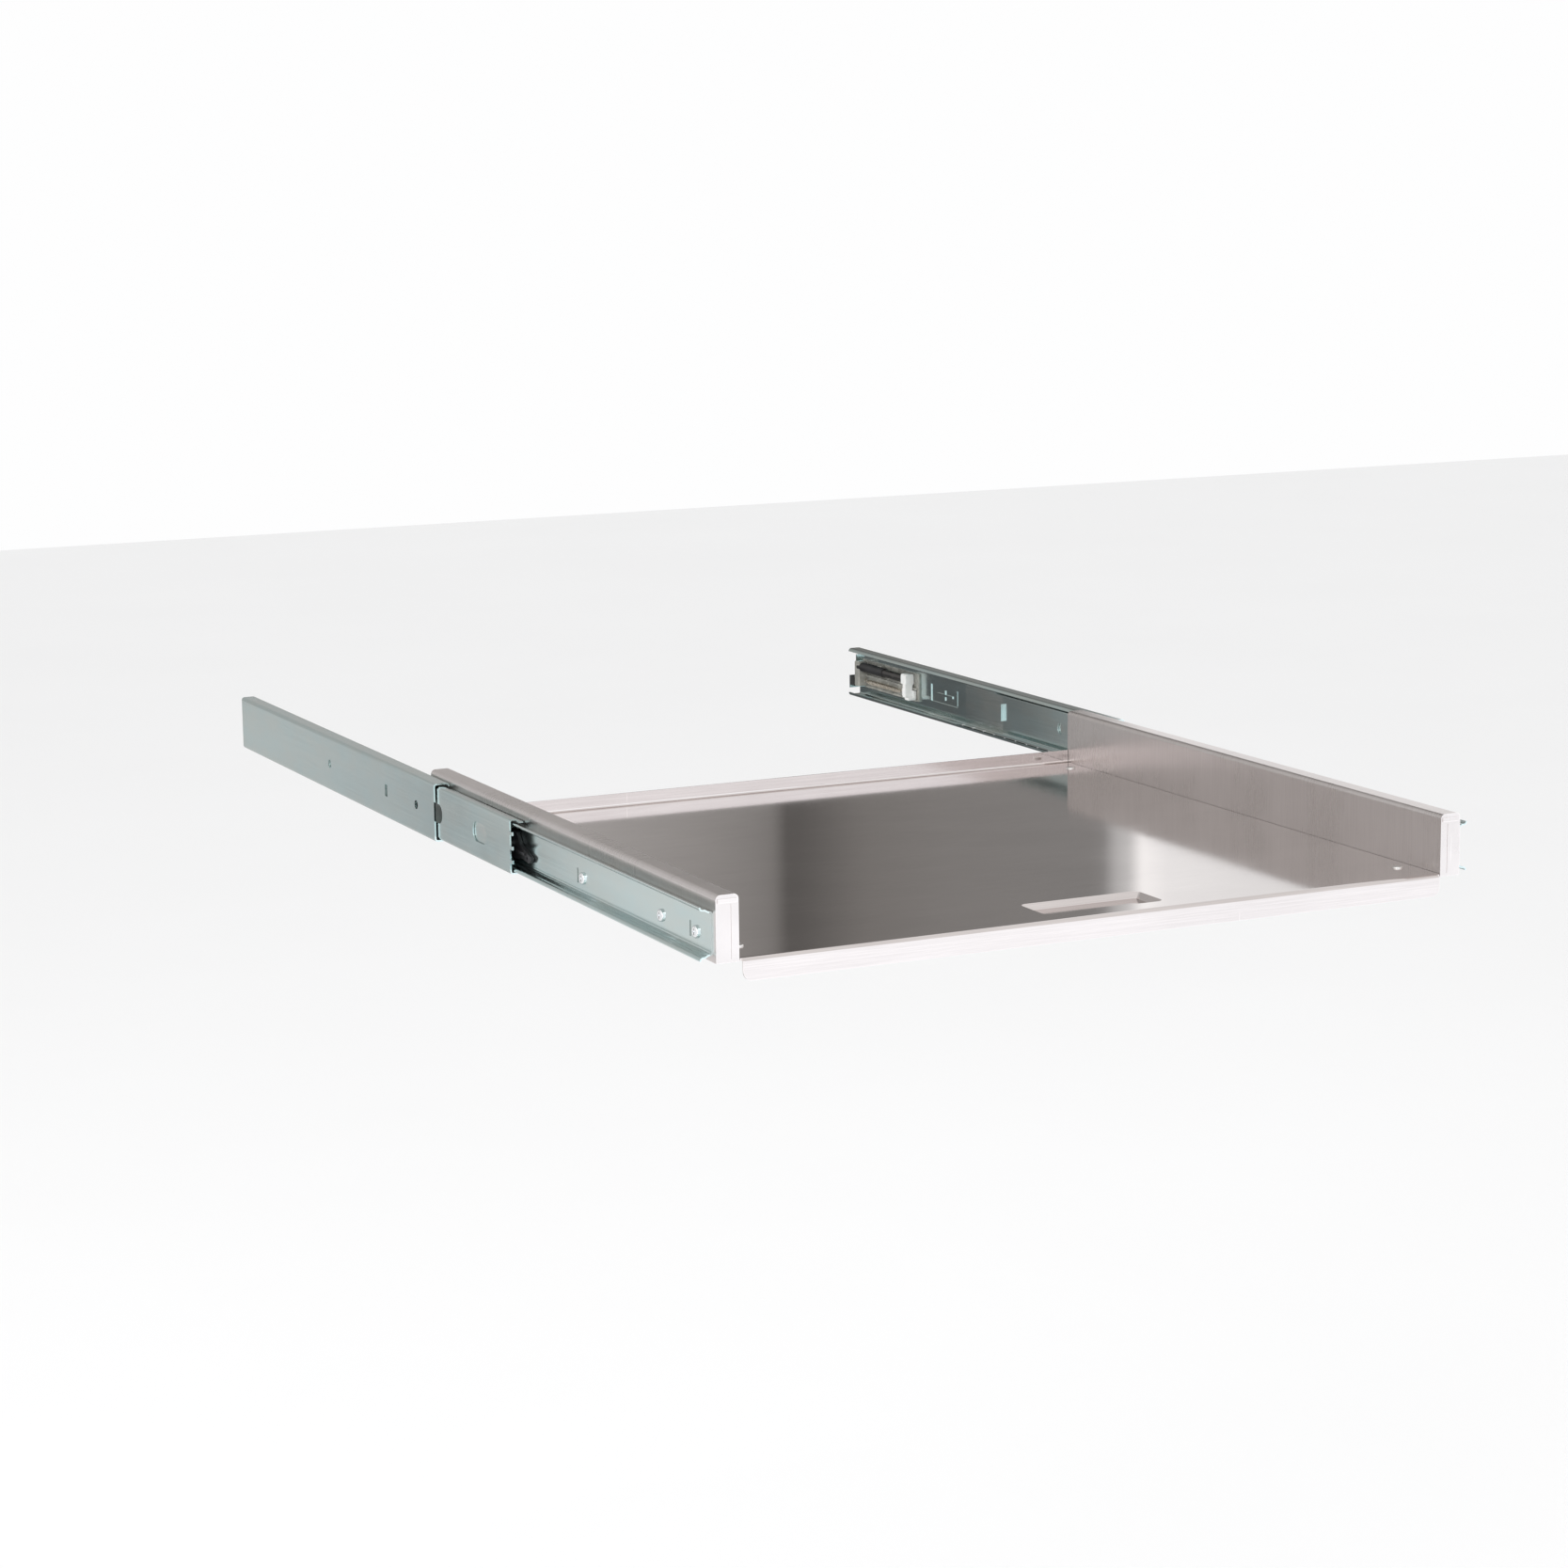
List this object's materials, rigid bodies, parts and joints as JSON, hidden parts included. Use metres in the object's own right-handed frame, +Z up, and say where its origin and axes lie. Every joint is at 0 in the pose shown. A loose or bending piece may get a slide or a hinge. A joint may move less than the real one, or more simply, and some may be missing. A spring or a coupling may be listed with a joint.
{
  "type": "cabinet drawer slide",
  "caption": "Pull-out metal tray on a pair of three-member ball-bearing slides with soft closing, for screwing between cabinet side panels.",
  "frame": {"origin": "on the tray floor's top face, on the mid-plane, level with the cabinet members' front ends", "axes": "+X to the right, +Y into the cabinet, +Z up; the tray is drawn fully pulled out"},
  "size_m": [0.568, 0.9019, 0.0543],
  "materials": {
    "zinc_steel": "bright zinc plated, cool blue-green tint",
    "cage_steel": "thin plated strip",
    "ball_steel": "polished",
    "black_plastic": "moulded, fine grain",
    "damper_black": "smooth black",
    "white_plastic": "moulded, slightly translucent white",
    "smoky_plastic": "moulded, smoky grey-beige, slightly translucent",
    "black_rubber": "soft",
    "fastener_steel": "bright plated",
    "spring_steel": "drawn wire",
    "stainless_pan": "brushed across the width",
    "stainless_wall": "brushed upright",
    "stainless_rivet": "satin"
  },
  "bodies": {
    "cabinet_side": {"left_cabinet_member": "zinc_steel", "left_closer_housing": "smoky_plastic", "left_damper_sleeve": "black_plastic", "left_end_bumper": "black_rubber", "left_closer_spring": "spring_steel", "right_cabinet_member": "zinc_steel", "right_closer_housing": "smoky_plastic", "right_damper_sleeve": "black_plastic", "right_end_bumper": "black_rubber", "right_closer_spring": "spring_steel"},
    "tray": {"tray_pan": "stainless_pan", "left_side_wall": "stainless_wall", "left_wall_rivets": "stainless_rivet", "left_drawer_member": "zinc_steel", "left_drawer_screws": "fastener_steel", "left_lever_pivot": "fastener_steel", "right_side_wall": "stainless_wall", "right_wall_rivets": "stainless_rivet", "right_drawer_member": "zinc_steel", "right_drawer_screws": "fastener_steel", "right_lever_pivot": "fastener_steel"},
    "left_middle": {"left_middle_member": "zinc_steel"},
    "left_outer_cage": {"left_outer_ball_cage": "cage_steel", "left_outer_balls": "ball_steel"},
    "left_inner_cage": {"left_inner_ball_cage": "cage_steel", "left_inner_balls": "ball_steel"},
    "left_lever": {"left_release_lever": "black_plastic"},
    "left_carriage": {"left_closer_carriage": "white_plastic", "left_damper_body": "damper_black"},
    "right_middle": {"right_middle_member": "zinc_steel"},
    "right_outer_cage": {"right_outer_ball_cage": "cage_steel", "right_outer_balls": "ball_steel"},
    "right_inner_cage": {"right_inner_ball_cage": "cage_steel", "right_inner_balls": "ball_steel"},
    "right_lever": {"right_release_lever": "black_plastic"},
    "right_carriage": {"right_closer_carriage": "white_plastic", "right_damper_body": "damper_black"}
  },
  "joints": [
    {"name": "left_outer_slide", "type": "slide", "parent": "cabinet_side", "child": "left_middle", "axis": [0, 1, 0], "range_m": [0, 0.143]},
    {"name": "tray_slide", "type": "slide", "parent": "left_middle", "child": "tray", "axis": [0, 1, 0], "range_m": [0, 0.307]},
    {"name": "right_outer_slide", "type": "slide", "parent": "cabinet_side", "child": "right_middle", "axis": [0, 1, 0], "range_m": [0, 0.143]},
    {"name": "left_outer_cage_roll", "type": "slide", "parent": "cabinet_side", "child": "left_outer_cage", "axis": [0, 1, 0], "range_m": [0, 0.0715]},
    {"name": "left_inner_cage_roll", "type": "slide", "parent": "left_middle", "child": "left_inner_cage", "axis": [0, 1, 0], "range_m": [0, 0.1535]},
    {"name": "left_lever_press", "type": "hinge", "parent": "tray", "child": "left_lever", "pos_m": [-0.2735, -0.125, 0.016], "axis": [-1, 0, 0], "range_deg": [0, 8], "stiffness_Nm_per_rad": 0.15},
    {"name": "left_closer_slide", "type": "slide", "parent": "cabinet_side", "child": "left_carriage", "axis": [0, 1, 0], "range_m": [0, 0.032], "deforming": ["left_closer_spring"]},
    {"name": "right_outer_cage_roll", "type": "slide", "parent": "cabinet_side", "child": "right_outer_cage", "axis": [0, 1, 0], "range_m": [0, 0.0715]},
    {"name": "right_inner_cage_roll", "type": "slide", "parent": "right_middle", "child": "right_inner_cage", "axis": [0, 1, 0], "range_m": [0, 0.1535]},
    {"name": "right_lever_press", "type": "hinge", "parent": "tray", "child": "right_lever", "pos_m": [0.2735, -0.125, 0.016], "axis": [-1, 0, 0], "range_deg": [0, 8], "stiffness_Nm_per_rad": 0.15},
    {"name": "right_closer_slide", "type": "slide", "parent": "cabinet_side", "child": "right_carriage", "axis": [0, 1, 0], "range_m": [0, 0.032], "deforming": ["right_closer_spring"]}
  ],
  "couplings": [
    {"joint": "right_outer_slide", "follows": "left_outer_slide", "ratio": 1},
    {"joint": "left_outer_cage_roll", "follows": "left_outer_slide", "ratio": 0.5},
    {"joint": "left_inner_cage_roll", "follows": "tray_slide", "ratio": 0.5},
    {"joint": "right_outer_cage_roll", "follows": "left_outer_slide", "ratio": 0.5},
    {"joint": "right_inner_cage_roll", "follows": "tray_slide", "ratio": 0.5}
  ]
}
